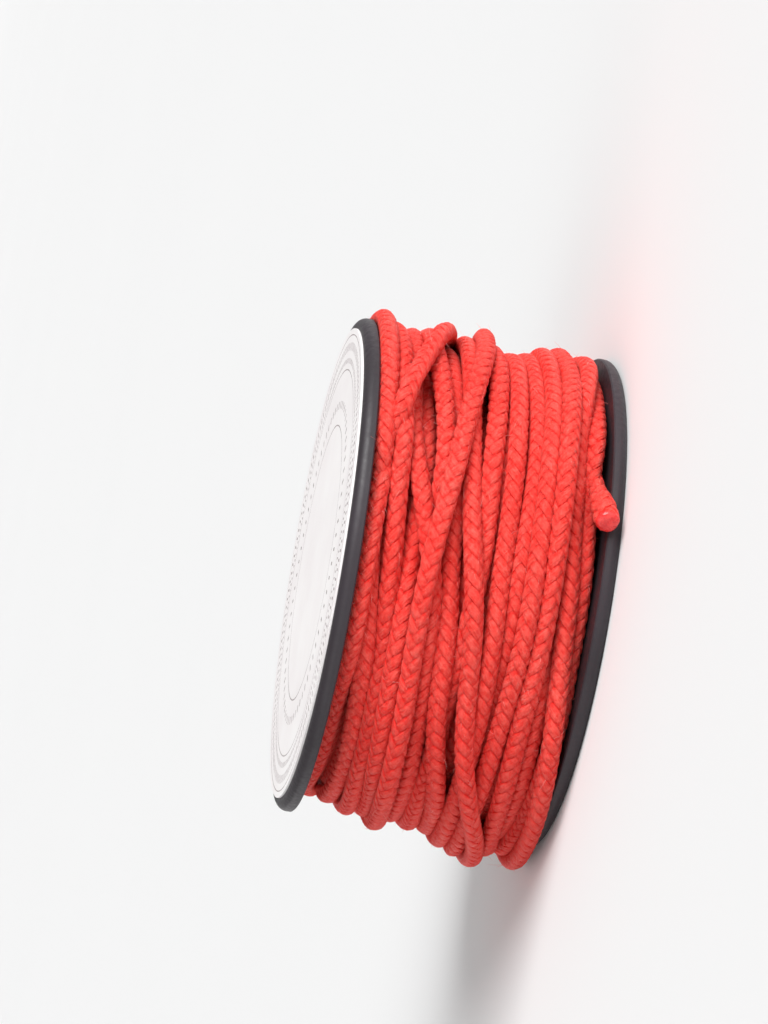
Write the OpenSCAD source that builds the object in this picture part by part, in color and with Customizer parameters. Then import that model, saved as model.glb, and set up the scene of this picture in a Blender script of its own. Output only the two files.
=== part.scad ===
// Small two-flange spool wound with thin braided cord.
// It stands on the bottom flange: the spool's axis is Z, and the origin is the
// centre of the bottom flange's outer face.

/* [Flanges] */
// Diameter of both flanges
flange_d = 38; // [34:1:60]
// Thickness of both flanges
flange_t = 1.1; // [1:0.1:2]
// Radius of the rounded outer edge of a flange
rim_round = 0.7; // [0.3:0.1:0.8]
// Width of the spool over both flanges
spool_w = 19.8; // [17.8:0.2:40]
// Depth of the ring moulded into the bottom flange's outer face
recess_depth = 0.3; // [0.1:0.1:0.5]

/* [Core] */
// Outer diameter of the core tube
core_d = 14; // [14:0.5:18]
// Wall thickness of the core tube
core_wall = 1.4; // [1.2:0.1:1.4]
// Length of the stub that presses into each end of the core tube
stub_len = 5.5; // [4:0.1:5.6]
// Diameter of the spindle bore through both stubs
bore_d = 6; // [4:0.5:6]
// Chamfer at the mouth of the spindle bore
bore_chamfer = 0.4; // [0.2:0.1:0.5]

/* [Label] */
// Diameter of the round paper label
label_d = 36.2; // [20:0.2:36.4]
// Thickness of the label with its adhesive
label_t = 0.15; // [0.1:0.05:0.3]

/* [Cord] */
// Diameter of the braided cord
cord_d = 1.5; // [1.2:0.1:1.5]
// Winding's radius where it meets a flange, measured from the flange's edge
edge_drop = 0.5; // [0:0.1:2]
// How far the middle of the winding stands above its edges
crown = 1.2; // [0:0.1:2]
// Diameter of the melted tip of the free end
tip_d = 1.8; // [1.5:0.1:2]
// Length of the melted tip
tip_len = 0.5; // [0.3:0.1:1]

/* [Hidden] */

flange_r = flange_d / 2;
bore_r = bore_d / 2;
core_r = core_d / 2;
stub_r = core_r - core_wall;
gap = spool_w - 2 * flange_t;

edge_break = 0.1;                 // the inner edge of a flange's rim
lead_in = 0.4;                    // chamfer on the free end of a stub
recess_wall = 0.2;                // slope of each side of the moulded ring
recess_in = core_r + 1;
recess_out = flange_r - 2.5;

cord_hole_d = cord_d + 0.4;       // hole in the core tube for the inner end
cord_hole_z = 8;
cord_hole_angle = -45;            // the hole slants, so that the cord bends gently
cord_hole_at = [6.2, 0, cord_hole_z];
cord_hole_len = 4;

sides = 8;                        // sides of a cord tube
steps = 3;                        // rings of a cord tube between two route points
arc_steps = 12;
crown_steps = 10;
round_fn = 128;

// Inner end of the cord, from the hollow of the core tube out to its surface.
inner_route = [[3.9, 2.2, 8], [5, 1.2, 8], [6.1, 0.1, 8], [6.6, -0.5, 8]];

// Free end, from the surface of the winding over the rim of the bottom flange.
tail_route = [[8.8, -14.9, 1.93], [8.25, -16.3, 1.82], [7.5, -17.65, 1.66],
              [6.5, -18.95, 1.45]];

function unit(v) = v / norm(v);
function clamp_index(points, i) = points[max(0, min(len(points) - 1, i))];

// Catmull-Rom curve through the route's points
function between(points, i, t) =
    let (a = clamp_index(points, i - 1), b = clamp_index(points, i))
    let (c = clamp_index(points, i + 1), d = clamp_index(points, i + 2))
    (2 * b + (c - a) * t + (2 * a - 5 * b + 4 * c - d) * t * t
     + (3 * b - a - 3 * c + d) * t * t * t) / 2;

function smooth(points) = [
    for (i = [0 : len(points) - 2])
        for (k = [0 : steps - 1]) between(points, i, k / steps),
    points[len(points) - 1]];

function heading(points, i) =
    unit(clamp_index(points, i + 1) - clamp_index(points, i - 1));

// One ring of the tube: the routes never run along Z, so Z sets its twist
function ring(centre, along) =
    let (side = unit(cross([0, 0, 1], along)), up = cross(along, side))
    [for (k = [0 : sides - 1])
        centre + cord_d / 2 * (cos(360 * k / sides) * side + sin(360 * k / sides) * up)];

module cord_tube(route) {
    line = smooth(route);
    last = len(line) - 1;
    points = [for (i = [0 : last]) each ring(line[i], heading(line, i))];
    skin = [for (i = [0 : last - 1]) for (k = [0 : sides - 1])
        let (n = (k + 1) % sides)
        [i * sides + k, (i + 1) * sides + k, (i + 1) * sides + n, i * sides + n]];
    start = [for (k = [0 : sides - 1]) k];
    end = [for (k = [sides - 1 : -1 : 0]) last * sides + k];
    polyhedron(points, concat([start], skin, [end]), convexity = 4);
}

module turned(profile) {
    rotate_extrude($fn = round_fn) polygon(profile);
}

function rim_arc() = [for (k = [0 : arc_steps])
    let (a = -90 + 90 * k / arc_steps)
    [flange_r - rim_round + rim_round * cos(a), rim_round + rim_round * sin(a)]];

// Half section of a flange that lies on its outer face, with its stub upwards
function flange_section(recess) = concat(
    [[bore_r, bore_chamfer], [bore_r + bore_chamfer, 0]],
    recess > 0
        ? [[recess_in, 0], [recess_in + recess_wall, recess],
           [recess_out - recess_wall, recess], [recess_out, 0]]
        : [],
    rim_arc(),
    [[flange_r, flange_t - edge_break], [flange_r - edge_break, flange_t],
     [stub_r, flange_t], [stub_r, flange_t + stub_len - lead_in],
     [stub_r - lead_in, flange_t + stub_len], [bore_r, flange_t + stub_len]]);

module bottom_flange() {
    color([0.27, 0.25, 0.28]) turned(flange_section(recess_depth));
}

module top_flange() {
    color([0.27, 0.25, 0.28])
        translate([0, 0, spool_w]) mirror([0, 0, 1]) turned(flange_section(0));
}

module core_tube() {
    color([0.2, 0.19, 0.21])
        difference() {
            translate([0, 0, flange_t])
                difference() {
                    cylinder(h = gap, r = core_r, $fn = round_fn);
                    translate([0, 0, -1]) cylinder(h = gap + 2, r = stub_r, $fn = round_fn);
                }
            translate(cord_hole_at)
                rotate([0, 90, cord_hole_angle])
                    cylinder(h = cord_hole_len, d = cord_hole_d, center = true, $fn = 32);
        }
}

module label_disc() {
    color([0.95, 0.93, 0.92])
        translate([0, 0, spool_w]) cylinder(h = label_t, d = label_d, $fn = round_fn);
}

module cord_inner_end() {
    color([0.85, 0.14, 0.12]) cord_tube(inner_route);
}

// Outer shape of all the turns: a drum with a crowned surface
module cord_winding() {
    edge_r = flange_r - edge_drop;
    crowned = [for (k = [0 : crown_steps])
        [edge_r + crown * sin(180 * k / crown_steps), flange_t + gap * k / crown_steps]];
    color([0.85, 0.14, 0.12])
        turned(concat([[core_r, flange_t]], crowned, [[core_r, spool_w - flange_t]]));
}

module cord_tail() {
    color([0.85, 0.14, 0.12]) cord_tube(tail_route);
}

// Melted tip, on the end of the tail and square to it
module cord_tip() {
    end = tail_route[len(tail_route) - 1];
    along = heading(smooth(tail_route), len(smooth(tail_route)) - 1);
    tip_r = tip_d / 2;
    tip_section = [[0, 0], [cord_d / 2, 0], [tip_r, tip_len * 0.35],
                   [tip_r * 0.97, tip_len * 0.7], [tip_r * 0.8, tip_len], [0, tip_len]];
    color([0.7, 0.1, 0.1])
        translate(end)
            rotate([0, acos(along[2]), atan2(along[1], along[0])])
                rotate_extrude($fn = 24) polygon(tip_section);
}

bottom_flange();
top_flange();
core_tube();
label_disc();
cord_inner_end();
cord_winding();
cord_tail();
cord_tip();
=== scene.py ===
"""A two-flange plastic spool wound full of thin red braided cord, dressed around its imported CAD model.

Lengths are in millimetres until a mesh is made, where MM turns them into metres.
The spool's axis is Z. An angle round it is counted from +X towards -Y, the way the cord is wound.
"""

import math

import bpy
import numpy as np
from mathutils import Matrix


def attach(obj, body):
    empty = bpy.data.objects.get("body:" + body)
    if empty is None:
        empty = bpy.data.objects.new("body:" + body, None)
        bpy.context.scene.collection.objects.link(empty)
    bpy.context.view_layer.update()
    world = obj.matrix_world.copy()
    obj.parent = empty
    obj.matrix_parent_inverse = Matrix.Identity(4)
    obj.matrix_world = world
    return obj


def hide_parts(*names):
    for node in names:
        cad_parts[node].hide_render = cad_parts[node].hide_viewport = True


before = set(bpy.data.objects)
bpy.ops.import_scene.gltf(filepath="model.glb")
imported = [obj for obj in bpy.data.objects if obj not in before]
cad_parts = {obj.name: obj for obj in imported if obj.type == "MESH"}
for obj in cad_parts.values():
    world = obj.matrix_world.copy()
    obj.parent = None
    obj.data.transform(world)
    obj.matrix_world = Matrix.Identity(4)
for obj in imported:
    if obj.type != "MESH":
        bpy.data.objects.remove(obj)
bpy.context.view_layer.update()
MM = 0.001
BODY = "root"

# ---------------------------------------------------------------- the cord's path
CORD_D = 1.5
CORE_R = 7.0
FLANGE_R, FLANGE_T = 19.0, 1.1
LOWEST, HIGHEST = 1.85, 17.95        # heights of a turn that touches a flange
COLUMNS = 120                        # path points in one turn
DEGREES = 360 / COLUMNS
STEP = math.radians(DEGREES)
SEAM = 90                            # a row of path points starts this many degrees behind angle 0
PITCH = 1.56                         # between turns wound side by side
PRESSED_HIDDEN = 1.44                # between two hidden turns pressed together
PRESSED = 1.35                       # between two outer turns pressed together
WOBBLE, WOBBLE_REACH = 0.1, 14       # how far hidden turns stray, and over how many path points
CALM_REACH = 10                      # path points over which the wobble dies out
HEIGHT_REACH = 2                     # path points over which the heights are smoothed
START_Z = 8.0
START_COLUMN = 37
LAYER_ENDS = (1.9, 17.8, 1.9, 17.85, 1.95, 17.3, 5.2)

# Both routes are the ones in part.scad
INNER_ROUTE = ((3.9, 2.2, 8), (5, 1.2, 8), (6.1, 0.1, 8), (6.6, -0.5, 8))
TAIL_ROUTE = ((8.8, -14.9, 1.93), (8.25, -16.3, 1.82), (7.5, -17.65, 1.66), (6.5, -18.95, 1.45))

# Outer turns, in the order they were wound: angle and height of the points each one passes
TURNS = (
    ("deep_1", ((0, 3.4), (60, 3.6), (110, 3.65), (180, 3.05))),
    ("deep_2", ((0, 6.6), (60, 6.6), (90, 6.9), (180, 6.9))),
    ("deep_3", ((0, 9.3), (30, 9.5), (60, 9.8), (80, 9.55), (100, 9.9), (140, 10.3), (180, 9.7))),
    ("T", ((0, 17.95), (60, 17.9), (80, 17.7), (100, 17.1), (120, 16.55), (140, 16.2), (180, 16.1))),
    ("B", ((0, 16.8), (40, 16.75), (60, 16.55), (80, 16.2), (100, 15.75), (140, 15.1), (180, 14.3))),
    ("D", ((0, 15.3), (20, 15.2), (40, 14.95), (60, 14.3), (80, 14.75), (100, 14.75), (140, 14.25),
           (180, 13.5))),
    ("G", ((0, 14.3), (20, 14.3), (40, 13.75), (60, 13.1), (100, 13.1), (140, 12.7), (180, 12.0))),
    ("C", ((0, 15.6), (20, 15.7), (40, 15.9), (50, 15.75), (60, 15.3), (70, 14.5), (80, 13.7),
           (90, 12.85), (100, 12.6), (120, 12.15), (180, 11.2))),
    ("H", ((0, 12.75), (40, 12.7), (60, 12.3), (80, 12.0), (100, 11.35), (120, 11.05), (130, 10.5),
           (140, 9.6), (160, 8.8), (180, 8.0))),
    ("L", ((0, 7.9), (60, 8.1), (100, 7.95), (120, 7.7), (160, 7.65), (180, 7.1))),
    ("N", ((0, 5.4), (40, 5.4), (60, 5.75), (100, 5.7), (120, 6.1), (160, 6.35), (180, 6.1))),
    ("S", ((-110, 3.6), (-60, 1.95), (0, 1.9), (25, 1.9), (40, 2.1), (50, 2.4), (60, 2.6), (70, 2.4),
           (80, 2.05), (100, 1.9), (150, 2.0), (172, 2.4), (190, 2.6))),
    ("Q", ((-60, 2.6), (-20, 2.9), (0, 2.45), (12, 2.15), (22, 2.4), (43, 3.5), (70, 3.5), (80, 3.15),
           (100, 2.75), (120, 2.3), (140, 1.75), (160, 1.5), (180, 1.4))),
    ("O", ((-60, 3.8), (0, 4.1), (20, 4.0), (30, 4.05), (42, 4.4), (60, 4.65), (100, 4.45), (120, 4.7),
           (150, 4.4), (165, 4.0), (180, 3.3))),
    ("J", ((-150, 5.4), (-100, 9.4), (-50, 11.2), (0, 11.4), (20, 11.5), (40, 11.6), (60, 11.25),
           (80, 10.6), (100, 9.5), (120, 8.9), (130, 8.4), (140, 7.35), (150, 6.15), (160, 5.1),
           (170, 4.6), (180, 4.4))),
    ("E", ((-140, 4.6), (-90, 6.0), (-45, 8.6), (0, 9.95), (20, 10.5), (30, 10.95), (40, 11.5),
           (50, 12.15), (60, 12.5), (70, 12.9), (80, 13.4), (90, 13.7), (100, 13.6), (140, 13.2),
           (180, 12.3))),
    ("A", ((0, 12.6), (10, 13.1), (20, 14.0), (30, 15.1), (40, 16.2), (50, 17.2), (60, 17.8),
           (80, 17.95), (180, 17.95))),
    ("V", ((-80, 5.6), (-40, 4.1), (0, 3.9), (30, 3.8), (37, 3.5), (45, 2.9), (52, 2.2))),
)
# Stretches that lie under turns wound before them: turn, from angle, to angle, laid before this turn
TUCKED = (("T", -SEAM, 48, "D"), ("V", -45, 60, "N"))
# Places where a turn is held out to fill the winding's outline: turn, angle, least radius
LIFTS = (("T", 5, 18.85), ("B", 5, 18.45), ("B", 178, 17.9), ("G", 5, 18.4), ("J", 5, 18.25),
         ("D", 178, 17.8), ("deep_2", 5, 17.8), ("deep_3", 5, 17.95), ("N", 5, 18.4),
         ("O", 180, 19.1), ("H", 178, 18.4), ("S", 30, 17.2), ("S", 174, 18.2), ("V", 52, 16.6),
         ("deep_1", 170, 18.1), ("H", 15, 17.2))
LIFT_REACH = 60                      # degrees in which a lift fades by 1 mm, where it ends
OVER_RIM = ("Q", 125, 270)           # a stretch free to climb over the bottom flange's rim

TAUT_ROUNDS = 260                    # passes that pull a newly laid stretch straight
OVERLAP = 20                         # points laid again so that the next stretch joins on smoothly

ACTIVE = 44                          # rows that take part when the winding settles
BURIED = 18                          # of those, the rows that only hold up the others
SETTLE_ROUNDS = 300
PAIRS_EVERY = 20                     # rounds between two searches for neighbouring rows
NEAR = 3.0                           # rows that come nearer than this are neighbours
TENSION, PULL = 0.1, 0.002           # pull towards a straight line, and towards the axis
LEVEL = 0.35                         # pull towards the mean height of both neighbours
PUSH = 0.4                           # share of an overlap by which each of the two turns gives way
SHOWN_FROM, SHOWN_TO = -8, 188       # angles between which the outer turns keep to their planned height
HOLD_SHOWN, HOLD_BACK, HOLD_HIDDEN = 0.12, 0.01, 0.06      # pull towards the planned height
FAR_AWAY = 1e3                       # where points that don't exist are kept


def bell(reach):
    kernel = np.exp(-0.5 * (np.arange(-3 * reach, 3 * reach + 1) / reach) ** 2)
    return kernel / kernel.sum()


def smooth(values, reach):
    return np.convolve(np.pad(values, 3 * reach, mode="edge"), bell(reach), "valid")


def hermite(a, b, slope_a, slope_b, h, t):
    """The cubic from a to b with the given slopes, a share t of the way across the span h."""
    return ((2 * t**3 - 3 * t**2 + 1) * a + (t**3 - 2 * t**2 + t) * h * slope_a
            + (3 * t**2 - 2 * t**3) * b + (t**3 - t**2) * h * slope_b)


def hidden_heights(rng):
    """Heights of the hidden turns, which go to and fro between the flanges."""
    heights, here = [], START_Z
    for end in LAYER_ENDS:
        pitch = PITCH * rng.uniform(0.98, 1.04)
        count = round(abs(end - here) / pitch * COLUMNS)
        heights += list(np.linspace(here, end, count, endpoint=False)) + [end] * (COLUMNS // 2)
        here = end
    heights += [here] * ((-START_COLUMN - len(heights)) % COLUMNS)
    return np.array(heights)


def through(x, y, at):
    """A smooth curve through the points x, y that never overshoots them, at the places in at."""
    slopes = np.diff(y) / np.diff(x)
    a, b = slopes[:-1], slopes[1:]
    inner = np.where(a * b > 0, 2 * a * b / np.where(a * b > 0, a + b, 1), 0)
    m = np.concatenate([[slopes[0]], inner, [slopes[-1]]])
    k = np.clip(np.searchsorted(x, at, side="right") - 1, 0, len(x) - 2)
    h = x[k + 1] - x[k]
    t = (at - x[k]) / h
    return hermite(y[k], y[k + 1], m[k], m[k + 1], h, t)


def outer_heights(start):
    """Heights of the outer turns, from where the hidden ones stop, SEAM degrees before angle 0."""
    x, y = [-float(SEAM) - 40, -float(SEAM)], [start, start]
    for k, (_, knots) in enumerate(TURNS):
        for angle, height in knots:
            if k or angle >= 0:
                x.append(angle + 360 * k)
                y.append(height)
    at = np.arange(-SEAM, x[-1] + 0.01, DEGREES)
    return through(np.array(x, float), np.array(y, float), at)


def near_rows(r, z):
    """Pairs of rows that come near each other somewhere."""
    one, two = np.triu_indices(ACTIVE, 1)
    apart = (r[one] - r[two])**2 + (z[one] - z[two])**2
    near = apart.min(1) < NEAR**2
    return one[near], two[near]


def pushed_apart(r, z, i, j):
    """How far the points of the rows i and j push each other out and up."""
    dr, dz = r[i] - r[j], z[i] - z[j]
    apart = np.sqrt(dr**2 + dz**2) + 1e-9
    push = np.where(apart < PRESSED, (PRESSED - apart) / apart * PUSH, 0)
    push_r, push_z = np.zeros_like(r), np.zeros_like(z)
    for rows, sign in ((i, 1), (j, -1)):
        np.add.at(push_r, rows, sign * push * dr)
        np.add.at(push_z, rows, sign * push * dz)
    return push_r.ravel(), push_z.ravel()


class Winding:
    """All the turns as rows of COLUMNS points, each with a radius and a height."""

    def __init__(self, seed):
        rng = np.random.default_rng(seed)
        hidden = hidden_heights(rng)
        heights = np.concatenate([hidden, outer_heights(hidden[-1])])
        wobble = smooth(rng.normal(size=len(heights)), WOBBLE_REACH)
        calm = np.ones(len(heights))
        calm[len(hidden) - COLUMNS // 3:] = 0
        stray = wobble * WOBBLE / wobble.std() * smooth(calm, CALM_REACH)
        heights = smooth(heights + stray, HEIGHT_REACH)
        self.first = START_COLUMN
        self.end = self.first + len(heights)
        self.outer = self.first + len(hidden)
        self.rows = -(-self.end // COLUMNS)
        self.z = np.full(self.rows * COLUMNS, np.nan)
        self.z[self.first:self.end] = np.minimum(heights, HIGHEST)
        self.r = np.full(len(self.z), np.nan)
        self.done = np.zeros(len(self.z), bool)
        self.free = np.zeros(len(self.z), bool)
        self.free[self.at(*OVER_RIM[:2]):self.at(OVER_RIM[0], OVER_RIM[2])] = True
        self.z = np.where(self.free, self.z, np.maximum(self.z, LOWEST))
        self.plan = self.z.copy()
        self.lift = np.zeros(len(self.z))
        index = np.arange(len(self.z))
        for name, angle, radius in LIFTS:
            fade = ((index - self.at(name, angle)) * DEGREES / LIFT_REACH) ** 2
            self.lift = np.where(fade < 1, np.maximum(self.lift, radius - fade), self.lift)
        self.held = np.zeros(len(self.z), bool)

    def at(self, name, angle):
        turn = [n for n, _ in TURNS].index(name)
        return self.outer + turn * COLUMNS + round((angle + SEAM) / DEGREES)

    def rim_height(self, z):
        """Least radius of a point that lies over the bottom flange's rim."""
        reach = np.maximum(0, (CORD_D / 2) ** 2 - np.maximum(0, z - FLANGE_T) ** 2)
        return FLANGE_R + np.sqrt(reach)

    def support(self, lo, hi):
        """Least radius of points lo..hi on top of everything that is already laid."""
        s = np.arange(lo, hi)
        rows = np.arange(self.rows)[:, None] * COLUMNS + s % COLUMNS
        gap = PRESSED_HIDDEN if lo < self.outer else PRESSED
        dz = np.abs(self.z[rows] - self.z[s])
        under = self.done[rows] & (dz < gap)
        tops = np.where(under, self.r[rows] + np.sqrt(np.maximum(gap**2 - dz**2, 0)), 0)
        least = np.maximum(tops.max(0), CORE_R + CORD_D / 2)
        rim = self.free[s] & (self.z[s] < LOWEST)
        return np.where(rim, np.maximum(least, self.rim_height(self.z[s])), least)

    def lay(self, lo, hi):
        """Lays points lo..hi: a taut string over its support, straight where nothing holds it up."""
        if lo - OVERLAP >= self.first and self.done[lo - OVERLAP - 1] and not self.held[lo - 1]:
            lo -= OVERLAP
        self.done[lo:hi] = False
        least = self.support(lo, hi)
        before = self.r[lo - 1] if self.done[lo - 1] else None
        after = self.r[hi] if hi < self.end and self.done[hi] else None
        r = least.copy()
        for _ in range(TAUT_ROUNDS):
            left = np.r_[r[0] if before is None else before, r[:-1]]
            right = np.r_[r[1:], r[-1] if after is None else after]
            r = np.maximum(least, 0.5 * (left + right) * math.cos(STEP))
        self.r[lo:hi] = r
        self.done[lo:hi] = True

    def lay_all(self):
        """Lays every turn in the order it was wound, but each tucked stretch before the turn over it."""
        held = self.held
        for name, a, b, _ in TUCKED:
            held[self.at(name, a):min(self.at(name, b), self.end)] = True
        for s in range(self.first, self.outer, COLUMNS):
            self.lay(s, min(s + COLUMNS, self.outer))
        s = self.outer
        for name, _ in TURNS:
            for tucked, a, b, before in TUCKED:
                if before == name:
                    self.lay(self.at(tucked, a), min(self.at(tucked, b), self.end))
            stop = min(s + COLUMNS, self.end)
            while s < stop:
                e = s
                while e < stop and held[e] == held[s]:
                    e += 1
                if not held[s]:
                    self.lay(s, e)
                s = e

    def hold(self, index, lo):
        """How strongly each point keeps to its planned height."""
        angle = index % COLUMNS * DEGREES - SEAM
        outer = index + lo >= self.outer
        shown = (angle > SHOWN_FROM) & (angle < SHOWN_TO) & outer
        return np.where(shown, HOLD_SHOWN, np.where(outer, HOLD_BACK, HOLD_HIDDEN))

    def settle(self):
        """Lets the outer turns slide into the grooves between their neighbours."""
        lo = (self.rows - ACTIVE) * COLUMNS
        ok, plan, free = self.done[lo:], np.nan_to_num(self.plan[lo:]), self.free[lo:]
        lift = self.lift[lo:]
        r = np.where(ok, self.r[lo:], FAR_AWAY)
        z = np.where(ok, self.z[lo:], -FAR_AWAY)
        index = np.arange(len(r))
        hold = self.hold(index, lo)
        move = (index >= BURIED * COLUMNS).astype(float)
        inside = ok & np.r_[False, ok[:-1]] & np.r_[ok[1:], False]
        for turn in range(SETTLE_ROUNDS):
            mean_r = 0.5 * (np.r_[r[0], r[:-1]] + np.r_[r[1:], r[-1]]) * math.cos(STEP)
            mean_z = 0.5 * (np.r_[z[0], z[:-1]] + np.r_[z[1:], z[-1]])
            r = r + move * (TENSION * np.where(inside, mean_r - r, 0) - PULL)
            z = z + move * (LEVEL * np.where(inside, mean_z - z, 0) + hold * (plan - z))
            for _ in range(2):
                rows_r, rows_z = r.reshape(ACTIVE, COLUMNS), z.reshape(ACTIVE, COLUMNS)
                if turn % PAIRS_EVERY == 0:
                    i, j = near_rows(rows_r, rows_z)
                push_r, push_z = pushed_apart(rows_r, rows_z, i, j)
                r, z = r + move * push_r, z + move * push_z
                z = np.where(move > 0, np.minimum(z, HIGHEST), z)
                low = (move > 0) & ~free & ok & (r < FLANGE_R + 0.3)
                z = np.where(low, np.maximum(z, LOWEST), z)
                r = np.where(free & (z < LOWEST), np.maximum(r, self.rim_height(z)), r)
                r = np.where(ok, np.maximum(r, lift), r)
        self.r[lo:] = np.where(ok, r, np.nan)
        self.z[lo:] = np.where(ok, z, np.nan)

    def points(self):
        s = np.arange(self.first, self.end)
        angle = s % COLUMNS * STEP - math.radians(SEAM)
        r = smooth(self.r[s], 1)
        return np.stack([r * np.cos(angle), -r * np.sin(angle), self.z[s]], 1)


def unit(v):
    return v / np.linalg.norm(v, axis=-1, keepdims=True)


def resample(points, step):
    """Points a step apart on a smooth curve through the given ones."""
    along = np.r_[0, np.cumsum(np.linalg.norm(np.diff(points, axis=0), axis=1))]
    slope = np.gradient(points, along, axis=0)
    at = np.linspace(0, along[-1], int(along[-1] / step) + 1)
    k = np.clip(np.searchsorted(along, at, side="right") - 1, 0, len(along) - 2)
    h = (along[k + 1] - along[k])[:, None]
    t = ((at - along[k])[:, None]) / h
    return hermite(points[k], points[k + 1], slope[k], slope[k + 1], h, t)


def ease(points, reach):
    """The same curve with its sharpest bends eased; both of its ends stay where they are."""
    wide = np.pad(points, ((3 * reach, 3 * reach), (0, 0)), mode="reflect", reflect_type="odd")
    return np.stack([np.convolve(column, bell(reach), "valid") for column in wide.T], 1)


winding = Winding(seed=7)
winding.lay_all()
winding.settle()

LEAD = 4.5                           # length in which a strand goes once round the cord
RING = LEAD / 16                     # between two rings of a strand
EASE = 4                             # rings over which a bend is eased
route = np.concatenate([np.array(INNER_ROUTE, float), winding.points(), np.array(TAIL_ROUTE, float)])
line = resample(ease(resample(route, RING), EASE), RING)
RING = float(np.linalg.norm(np.diff(line, axis=0), axis=1).mean())
CORD_LENGTH = RING * (len(line) - 1)

# ---------------------------------------------------------------- mesh helpers


def mesh_object(name, verts, faces, attribute=None):
    """A smooth mesh in millimetres; its faces come as arrays, each with its own number of corners."""
    mesh = bpy.data.meshes.new(name)
    corners = np.concatenate([part.ravel() for part in faces])
    sizes = np.concatenate([np.full(len(part), part.shape[1]) for part in faces])
    mesh.vertices.add(len(verts))
    mesh.vertices.foreach_set("co", (np.asarray(verts, float) * MM).ravel())
    mesh.loops.add(len(corners))
    mesh.loops.foreach_set("vertex_index", corners.astype(np.int32))
    mesh.polygons.add(len(sizes))
    mesh.polygons.foreach_set("loop_start", (np.cumsum(sizes) - sizes).astype(np.int32))
    mesh.polygons.foreach_set("loop_total", sizes.astype(np.int32))
    mesh.polygons.foreach_set("use_smooth", np.ones(len(sizes), bool))
    mesh.update(calc_edges=True)
    mesh.validate()
    if attribute is not None:
        layer = mesh.attributes.new("lay", "FLOAT_VECTOR", "POINT")
        layer.data.foreach_set("vector", np.asarray(attribute, np.float32).ravel())
    obj = bpy.data.objects.new(name, mesh)
    bpy.context.scene.collection.objects.link(obj)
    return obj


def tube_faces(rings, sides, base=0):
    """Quads between the rings of a closed tube, and a fan of triangles over each of its ends."""
    i = np.arange(rings - 1)[:, None] * sides
    k = np.arange(sides)[None, :]
    n = (k + 1) % sides
    skin = np.stack([i + k, i + n, i + n + sides, i + k + sides], -1).reshape(-1, 4)
    k = np.arange(1, sides - 1)
    start = np.stack([np.zeros_like(k), k + 1, k], -1)
    end = np.stack([np.zeros_like(k), k, k + 1], -1) + (rings - 1) * sides
    return [skin + base, np.concatenate([start, end]) + base]


def cross_sections(line):
    """Heading, outward and sideways directions at each point of the cord."""
    heading = unit(np.gradient(line, axis=0))
    outward = line * [1, 1, 0]
    outward = unit(outward - (outward * heading).sum(1, keepdims=True) * heading)
    return heading, outward, np.cross(heading, outward)


heading, outward, sideways = cross_sections(line)
distance = np.arange(len(line)) * RING

# ---------------------------------------------------------------- the cord
BRAID_LENGTH = 3300.0                # outer stretch of the cord whose strands are modelled
SURFACE_R = 0.62                     # radius at which the strands' slant is worked out
BRAID_R = 0.555                      # mean radius of a strand's centre
BRAID_WAVE = 0.07                    # how far it swings in and out
STRAND_W, STRAND_T = 0.88, 0.27
STRAND_SECTION = np.array([(-1, 0.1), (-0.66, 0.8), (0, 1), (0.66, 0.8), (1, 0.1), (0.5, -0.9),
                           (-0.5, -0.9)])
BRAID_TAN = 2 * math.pi * SURFACE_R / LEAD
BRAID_COS, BRAID_SIN = 1 / math.hypot(1, BRAID_TAN), BRAID_TAN / math.hypot(1, BRAID_TAN)
STRAND_SHIFT = 37.0                  # keeps the fibre patterns of two strands apart
TRIANGLE_CAP = 190000                # most triangles in one piece of braid
LEAST_RINGS = 40                     # a last piece with fewer rings is joined to the one before

BURIED_R, FILLING_R = 0.72, 0.47     # radius of the one tube where it is buried, and inside the braid
CORE_RING, CORE_SIDES = 0.9, 8       # its ring spacing and sides

TWIST, TWIST_REACH = 1.1, 120        # how far the braid turns to and fro, and over how many rings
TWIST_RATE = 0.004                   # radians a millimetre that it turns steadily
GIRTH, GIRTH_REACH = 0.015, 30       # how far the cord's thickness varies, and over how many rings
TAIL_LEFT = (0.0, 1.0, 2.2, 3.2, 4.2, 6.0)     # length left to the cord's end
TAIL_GIRTH = (0.19, 0.19, 0.14, -0.05, -0.17, 0.0)      # how much thicker the cord is there

rng = np.random.default_rng(11)
twist = smooth(rng.normal(size=len(line)), TWIST_REACH)
twist = TWIST * twist / twist.std() + distance * TWIST_RATE
girth = smooth(rng.normal(size=len(line)), GIRTH_REACH)
girth = 1 + GIRTH * girth / girth.std()
to_end = distance[-1] - distance
girth += through(np.array(TAIL_LEFT), np.array(TAIL_GIRTH), np.minimum(to_end, TAIL_LEFT[-1]))


def around(index, angle, radius, ahead):
    """Points at an angle and radius round the cord, and a little ahead along it."""
    c, s = np.cos(angle)[..., None], np.sin(angle)[..., None]
    out = c * outward[index][:, None, :] + s * sideways[index][:, None, :]
    return (line[index][:, None, :] + radius[..., None] * out
            + ahead[..., None] * heading[index][:, None, :])


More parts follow.
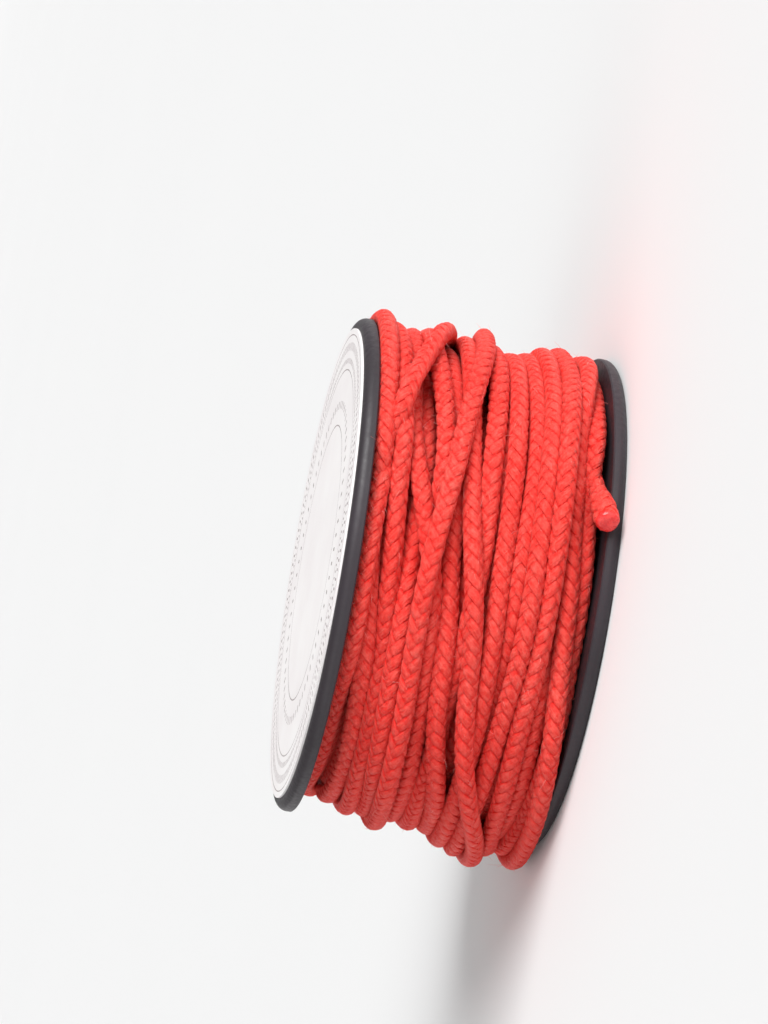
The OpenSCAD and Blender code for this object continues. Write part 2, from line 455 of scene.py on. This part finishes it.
def strand(index, k):
    """One strand of the braid: four wind one way and four the other, two over and two under."""
    way = 1 if k < 4 else -1
    s = distance[index]
    theta = way * 2 * math.pi * s / LEAD + (k % 4) * math.pi / 2
    wave = np.cos(2 * (theta - math.pi / 8)) * way
    wave = wave * (1.5 - 0.5 * wave**2)
    x, y = STRAND_SECTION[:, 0] * STRAND_W / 2, STRAND_SECTION[:, 1] * STRAND_T / 2
    radius = (BRAID_R + BRAID_WAVE * wave)[:, None] + y[None, :]
    radius = radius * girth[index][:, None]
    angle = (theta + twist[index])[:, None] + x[None, :] * BRAID_COS / SURFACE_R
    ahead = np.broadcast_to(-way * x * BRAID_SIN, radius.shape)
    verts = around(index, angle, radius, ahead)
    # The third value, how far the strand dives under, sets the braid material's painted crease shade.
    lay = np.stack([np.broadcast_to((s + STRAND_SHIFT * k)[:, None], radius.shape),
                    np.broadcast_to(x, radius.shape),
                    np.broadcast_to(wave[:, None], radius.shape)], -1)
    return verts.reshape(-1, 3), lay.reshape(-1, 3)


def braid_piece(name, lo, hi):
    index = np.arange(lo, hi)
    verts, lays, faces = [], [], []
    sides = len(STRAND_SECTION)
    for k in range(8):
        v, lay = strand(index, k)
        faces += tube_faces(len(index), sides, k * len(v))
        verts.append(v)
        lays.append(lay)
    return mesh_object(name, np.concatenate(verts), faces, np.concatenate(lays))


def core_piece(name):
    """The whole cord as one tube: its own surface where it is buried, its filling where it shows."""
    count = int(CORD_LENGTH / CORE_RING)
    index = np.unique(np.linspace(0, len(line) - 1, count).astype(int))
    left = CORD_LENGTH - distance[index]
    radius = np.where(left > BRAID_LENGTH - 2, BURIED_R, FILLING_R) * girth[index]
    theta = np.arange(CORE_SIDES) * 2 * math.pi / CORE_SIDES
    angle = twist[index][:, None] + theta[None, :]
    verts = around(index, angle, np.broadcast_to(radius[:, None], angle.shape), np.zeros(angle.shape))
    # The zigzag across is read by the braid material as a strand's edge, so it paints stripes of crease
    # shade on the filling.
    zigzag = np.abs(theta / (math.pi / 2) % 2 - 1)
    lay = np.stack([np.broadcast_to(distance[index][:, None], angle.shape),
                    np.broadcast_to(zigzag, angle.shape), np.full(angle.shape, 0.5)], -1)
    faces = tube_faces(len(index), CORE_SIDES)
    return mesh_object(name, verts.reshape(-1, 3), faces, lay.reshape(-1, 3))


def braid_pieces():
    """The braid, cut into pieces that share the ring where they meet."""
    rings = int(TRIANGLE_CAP / (2 * 8 * len(STRAND_SECTION)))
    start = len(line) - int(BRAID_LENGTH / RING)
    pieces = []
    while start < len(line) - 1:
        stop = min(start + rings, len(line))
        if len(line) - stop < LEAST_RINGS:
            stop = len(line)
        pieces.append(braid_piece(f"cord_braid_{len(pieces) + 1}", start, stop))
        start = stop - 1
    return pieces


cord = core_piece("cord")
braids = braid_pieces()

# Rings of the melted tip: how far past the cord's end, and radius
TIP_PROFILE = ((-0.45, 0.6), (-0.3, 0.74), (-0.12, 0.82), (0.05, 0.87), (0.2, 0.88), (0.33, 0.83),
               (0.42, 0.72), (0.47, 0.57), (0.48, 0.42), (0.49, 0.26), (0.5, 0.1))
TIP_SIDES = 32
TIP_LUMP = 0.018                     # size of its lumps, as a share of its radius
TIP_WAVES = 6                        # waves round the tip that add up to its lumps


def melted_tip(name):
    """The heat-sealed end of the cord: a blunt, lumpy knob."""
    rng = np.random.default_rng(5)
    theta = np.arange(TIP_SIDES) * 2 * math.pi / TIP_SIDES
    waves = rng.normal(size=(TIP_WAVES, 4))
    rings = []
    for ahead, radius in TIP_PROFILE:
        lump = sum(w[0] * np.cos((k % 4 + 1) * theta + w[1] + 5 * w[2] * ahead)
                   for k, w in enumerate(waves))
        r = radius * (1 + TIP_LUMP * lump)
        a = ahead + TIP_LUMP * 0.6 * np.roll(lump, 9) * min(1, radius / 0.4)
        rings.append(line[-1] + a[:, None] * heading[-1]
                     + (r * np.cos(theta))[:, None] * outward[-1]
                     + (r * np.sin(theta))[:, None] * sideways[-1])
    return mesh_object(name, np.concatenate(rings), tube_faces(len(rings), TIP_SIDES))


FIBRES = 3500
FIBRE_RINGS, FIBRE_SIDES = 6, 3
FIBRE_ROOT = 0.66                    # distance of its root from the cord's middle
FIBRE_R, FIBRE_TAPER = 0.013, 0.7    # radius at the root, and the share lost at the tip
SHORT_FIBRE, LONG_FIBRE = (0.15, 0.5), (0.5, 1.1)        # least and greatest length
SHORT_SHARE = 0.8                    # share of the fibres that are short


def fibre_rings(rng, i):
    """One loose fibre that stands out of the braid at ring i of the cord."""
    a = rng.normal(0, 0.8)
    out = math.cos(a) * outward[i] + math.sin(a) * sideways[i]
    side = np.cross(heading[i], out)
    lean = heading[i] * rng.choice((-1, 1)) * rng.uniform(0.5, 1.4) + side * rng.normal(0, 0.6)
    bend = side * rng.normal(0, 0.35) + out * rng.normal(-0.2, 0.25) + heading[i] * rng.normal(0, 0.3)
    length = rng.uniform(*(SHORT_FIBRE if rng.random() < SHORT_SHARE else LONG_FIBRE))
    t = np.linspace(0, 1, FIBRE_RINGS)[:, None]
    go = unit(out * 0.8 + lean)
    spine = line[i] + out * FIBRE_ROOT + length * (t * go + t**2 * bend)
    up = unit(np.cross(go, bend + 1e-6))
    across = np.cross(go, up)
    thick = FIBRE_R * (1 - FIBRE_TAPER * t)
    angle = np.arange(FIBRE_SIDES)[None, :, None] * 2 * math.pi / FIBRE_SIDES
    return spine[:, None, :] + thick[:, None, :] * (np.cos(angle) * up + np.sin(angle) * across)


def fibres(name, seed):
    """Loose fibre ends that stand out of the braid."""
    rng = np.random.default_rng(seed)
    first = len(line) - int(BRAID_LENGTH / RING)
    verts, faces = [], []
    for k in range(FIBRES):
        ring = fibre_rings(rng, int(rng.integers(first, len(line) - 2)))
        verts.append(ring.reshape(-1, 3))
        faces += tube_faces(FIBRE_RINGS, FIBRE_SIDES, k * FIBRE_RINGS * FIBRE_SIDES)
    return mesh_object(name, np.concatenate(verts), faces)


tip = melted_tip("cord_melted_tip")
fuzz = fibres("cord_fibres", 21)

# ---------------------------------------------------------------- materials


class Nodes:
    """A material and short ways to add nodes to it."""

    def __init__(self, name, roughness=0.5):
        self.material = bpy.data.materials.new(name)
        self.material.use_nodes = True
        self.tree = self.material.node_tree
        self.shader = self.tree.nodes["Principled BSDF"]
        self.shader.inputs["Roughness"].default_value = roughness

    def put(self, socket, value):
        if isinstance(value, bpy.types.NodeSocket):
            self.tree.links.new(value, socket)
        else:
            socket.default_value = value

    def math(self, operation, *values):
        node = self.tree.nodes.new("ShaderNodeMath")
        node.operation = operation
        for socket, value in zip(node.inputs, values):
            self.put(socket, value)
        return node.outputs[0]

    def noise(self, vector, scale, detail=2.0, roughness=0.5):
        node = self.tree.nodes.new("ShaderNodeTexNoise")
        self.put(node.inputs["Vector"], vector)
        node.inputs["Scale"].default_value = scale
        node.inputs["Detail"].default_value = detail
        node.inputs["Roughness"].default_value = roughness
        return node.outputs["Fac"]

    def span(self, value, a, b, c=0.0, d=1.0):
        node = self.tree.nodes.new("ShaderNodeMapRange")
        for socket, v in zip(node.inputs, (value, a, b, c, d)):
            self.put(socket, v)
        return node.outputs[0]

    def mix(self, factor, a, b):
        node = self.tree.nodes.new("ShaderNodeMix")
        node.data_type = "RGBA"
        self.put(node.inputs[0], factor)
        self.put(node.inputs[6], a)
        self.put(node.inputs[7], b)
        return node.outputs[2]

    def vector(self, x, y, z):
        node = self.tree.nodes.new("ShaderNodeCombineXYZ")
        for socket, value in zip(node.inputs, (x, y, z)):
            self.put(socket, value)
        return node.outputs[0]

    def parts(self, vector):
        node = self.tree.nodes.new("ShaderNodeSeparateXYZ")
        self.put(node.inputs[0], vector)
        return node.outputs

    def attribute(self, name):
        node = self.tree.nodes.new("ShaderNodeAttribute")
        node.attribute_name = name
        return node.outputs["Vector"]

    def position(self):
        return self.tree.nodes.new("ShaderNodeTexCoord").outputs["Object"]

    def bump(self, height, distance, strength=1.0):
        node = self.tree.nodes.new("ShaderNodeBump")
        node.inputs["Strength"].default_value = strength
        node.inputs["Distance"].default_value = distance
        self.put(node.inputs["Height"], height)
        self.put(self.shader.inputs["Normal"], node.outputs[0])

    def set(self, **values):
        for key, value in values.items():
            self.put(self.shader.inputs[key.replace("_", " ")], value)


def rgb(r, g, b):
    return (r, g, b, 1.0)


CORD_DULL, CORD_FAIR = rgb(0.72, 0.012, 0.008), rgb(0.92, 0.15, 0.12)
# The second colour here is painted crease shade: the purer red that the braid shows in its shaded
# creases.
CORD_WORN, CORD_CREASE_SHADE = rgb(0.78, 0.018, 0.013), rgb(0.80, 0.004, 0.003)
MELT_DARK, MELT_FAIR = rgb(0.62, 0.012, 0.012), rgb(0.88, 0.05, 0.045)
FIBRE_DARK, FIBRE_FAIR = rgb(0.9, 0.12, 0.1), rgb(1.0, 0.42, 0.38)
PAPER_DULL, PAPER_FAIR, INK = rgb(0.86, 0.82, 0.82), rgb(0.91, 0.885, 0.88), rgb(0.17, 0.10, 0.105)
CHARCOAL = rgb(0.017, 0.012, 0.016), rgb(0.026, 0.019, 0.025)
BLACK = rgb(0.02, 0.018, 0.021), rgb(0.03, 0.027, 0.031)
FLOOR_PALE = rgb(0.84, 0.84, 0.84), rgb(0.86, 0.86, 0.86)


def cord_material():
    """Red polyester braid: fibres along each strand, and painted crease shade: purer red at its edges
    and where it dives under.
    """
    n = Nodes("braid_red", 0.5)
    along, across, cover = n.parts(n.attribute("lay"))
    fibre = n.noise(n.vector(n.math("MULTIPLY", along, 1.5), n.math("MULTIPLY", across, 8.5), 0.0),
                    1.0, 4.0, 0.65)
    patch = n.noise(n.position(), 2600.0, 3.0, 0.6)
    worn = n.noise(n.position(), 110.0, 3.0, 0.6)
    tone = n.math("ADD", n.math("MULTIPLY", n.span(fibre, 0.3, 0.7), 0.5),
                  n.math("MULTIPLY", n.span(patch, 0.35, 0.65), 0.5))
    # Painted crease shade: a purer red at each strand's edges and where it dives under another, where
    # shade falls.
    side = n.span(n.math("ABSOLUTE", across), 0.26, 0.43)
    dive_shade = n.span(cover, 0.55, -0.5)
    deep = n.math("MAXIMUM", n.math("MULTIPLY", dive_shade, 0.9), n.math("MULTIPLY", side, 0.85))
    top = n.mix(tone, CORD_DULL, CORD_FAIR)
    top = n.mix(n.span(worn, 0.35, 0.65, 0.0, 0.35), top, CORD_WORN)
    n.set(Base_Color=n.mix(deep, top, CORD_CREASE_SHADE),
          Roughness=n.span(fibre, 0.3, 0.7, 0.42, 0.62), Specular_IOR_Level=0.2,
          Specular_Tint=rgb(1.0, 0.66, 0.62), Sheen_Weight=0.07,
          Subsurface_Weight=0.3, Subsurface_Scale=0.00025, Subsurface_Radius=(1.0, 0.08, 0.05),
          Sheen_Roughness=0.4, Sheen_Tint=rgb(1.0, 0.5, 0.45))
    n.bump(n.math("ADD", fibre, n.math("MULTIPLY", patch, 0.5)), 0.0002, 1.0)
    return n.material


def melt_material():
    """The same red, melted to a glossy lump."""
    n = Nodes("melted_red", 0.25)
    lump = n.noise(n.position(), 1500.0, 3.0, 0.6)
    n.set(Base_Color=n.mix(n.span(lump, 0.35, 0.65), MELT_DARK, MELT_FAIR),
          Roughness=n.span(lump, 0.3, 0.7, 0.16, 0.4), Specular_IOR_Level=0.6)
    n.bump(lump, 0.00012, 0.8)
    return n.material


def fibre_material():
    """Thin fibres, paler than the braid because light comes through them."""
    n = Nodes("fibre_red", 0.5)
    tone = n.noise(n.position(), 300.0)
    n.set(Base_Color=n.mix(n.span(tone, 0.4, 0.6), FIBRE_DARK, FIBRE_FAIR), Sheen_Weight=0.3)
    return n.material


# Marks on the label, in rings: middle radius and half breadth in mm, count, share of ink
LABEL_TICKS = ((17.6, 0.04, 1, 2), (16.7, 0.32, 150, 0.3), (15.6, 0.2, 200, 0.35), (14.9, 0.04, 1, 2),
               (12.2, 0.3, 72, 0.25), (10.6, 0.05, 1, 2))


def label_material():
    """Off-white paper with plain printed rings and rows of ticks; it spells nothing."""
    n = Nodes("label_print", 0.6)
    x, y, _ = n.parts(n.position())
    radius = n.math("MULTIPLY", n.math("SQRT", n.math("ADD", n.math("MULTIPLY", x, x),
                                                       n.math("MULTIPLY", y, y))), 1000.0)
    angle = n.math("ARCTAN2", y, x)
    ink = 0.0
    for middle, half, count, filled in LABEL_TICKS:
        turn = n.math("MULTIPLY", angle, count / (2 * math.pi))
        stroke = n.math("LESS_THAN", n.math("FRACT", turn), filled)
        reach = n.math("LESS_THAN", n.math("ABSOLUTE", n.math("SUBTRACT", radius, middle)), half)
        ink = n.math("MAXIMUM", ink, n.math("MULTIPLY", stroke, reach))
    fine = n.noise(n.position(), 2200.0, 3.0, 0.6)
    stain = n.noise(n.position(), 110.0, 3.0, 0.6)
    sheet = n.mix(n.span(stain, 0.35, 0.65), PAPER_DULL, PAPER_FAIR)
    worn = n.math("MULTIPLY", ink, n.span(fine, 0.3, 0.6, 0.55, 0.9))
    n.set(Base_Color=n.mix(worn, sheet, INK),
          Roughness=n.span(fine, 0.3, 0.7, 0.5, 0.65))
    n.bump(fine, 0.00002, 0.4)
    return n.material


def plastic_material(name, dark, light):
    """Matte moulded plastic with a fine grain."""
    n = Nodes(name, 0.5)
    fine = n.noise(n.position(), 2600.0, 3.0, 0.6)
    broad = n.noise(n.position(), 90.0, 3.0, 0.55)
    n.set(Base_Color=n.mix(n.span(broad, 0.35, 0.65), dark, light),
          Roughness=n.span(fine, 0.3, 0.7, 0.42, 0.6))
    n.bump(fine, 0.00004, 0.5)
    return n.material


red = cord_material()
charcoal = plastic_material("flange_charcoal", *CHARCOAL)
black = plastic_material("core_black", *BLACK)
paper = label_material()
melt = melt_material()
fluff = fibre_material()


def dress(obj, material):
    obj.data.materials.clear()
    obj.data.materials.append(material)


for piece in [cord, *braids]:
    dress(piece, red)
    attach(piece, BODY)
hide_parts("cord_inner_end", "cord_winding", "cord_tail")
for piece, material, slot in ((tip, melt, "cord_melt"), (fuzz, fluff, "cord_braid")):
    dress(piece, material)
    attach(piece, BODY)
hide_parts("cord_tip")
for node, material in (("bottom_flange", charcoal), ("top_flange", charcoal), ("core_tube", black),
                       ("label_disc", paper)):
    dress(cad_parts[node], material)

# ---------------------------------------------------------------- stage
CAMERA_AT = (0.0, -0.31838, 0.05239)
CAMERA_RIGHT = (0.16408, -0.11641, -0.97955)
CAMERA_UP = (0.98634, 0.00469, 0.16466)
CAMERA_AHEAD = (0.01457, 0.99319, -0.11559)
CAMERA_LENS, CAMERA_SENSOR = 147.66, 36.0
# Section of the floor in metres: radius and height
FLOOR = ((0.02, 0), (0.06, 0), (0.2, 0), (0.6, 0), (2, 0), (6, 0), (12, 0), (13, 0.1), (14, 0.4),
         (14.8, 1), (15, 2))
FLOOR_SIDES = 64
# Direction of a light, strength and breadth in degrees
KEY, FILL = ((0.85, -0.66, 0.52), 4.2, 45), ((-0.7, -0.8, 0.35), 0.9, 60)
WORLD_LIGHT = 0.42


def add_camera():
    data = bpy.data.cameras.new("camera")
    data.lens, data.sensor_width = CAMERA_LENS, CAMERA_SENSOR
    data.clip_start = 0.01
    camera = bpy.data.objects.new("camera", data)
    bpy.context.scene.collection.objects.link(camera)
    back = [-v for v in CAMERA_AHEAD]
    turn = Matrix((CAMERA_RIGHT, CAMERA_UP, back)).transposed()
    camera.matrix_world = Matrix.Translation(CAMERA_AT) @ turn.to_4x4()
    bpy.context.scene.camera = camera


def add_floor():
    """A wide floor that rises far away."""
    turn = np.arange(FLOOR_SIDES) * 2 * math.pi / FLOOR_SIDES
    verts = [(r * math.cos(a) / MM, r * math.sin(a) / MM, h / MM) for r, h in FLOOR for a in turn]
    skin, ends = tube_faces(len(FLOOR), FLOOR_SIDES)
    floor = mesh_object("floor", verts, [skin[:, ::-1], ends[:len(ends) // 2, ::-1]])
    n = Nodes("floor_pale", 0.9)
    n.set(Base_Color=n.mix(n.noise(n.position(), 3.0), *FLOOR_PALE))
    dress(floor, n.material)


def add_sun(name, direction, strength, spread):
    data = bpy.data.lights.new(name, "SUN")
    data.energy, data.angle = strength, math.radians(spread)
    sun = bpy.data.objects.new(name, data)
    bpy.context.scene.collection.objects.link(sun)
    z = np.array(direction) / np.linalg.norm(direction)
    x = np.cross((0, 1, 0), z)
    x /= np.linalg.norm(x)
    sun.matrix_world = Matrix((tuple(x), tuple(np.cross(z, x)), tuple(z))).transposed().to_4x4()


add_camera()
add_floor()
add_sun("key", *KEY)
add_sun("fill", *FILL)
world = bpy.data.worlds.new("world")
world.use_nodes = True
sky = world.node_tree.nodes["Background"]
sky.inputs["Color"].default_value = rgb(1, 1, 1)
sky.inputs["Strength"].default_value = WORLD_LIGHT
bpy.context.scene.world = world
bpy.context.scene.view_settings.view_transform = "Standard"
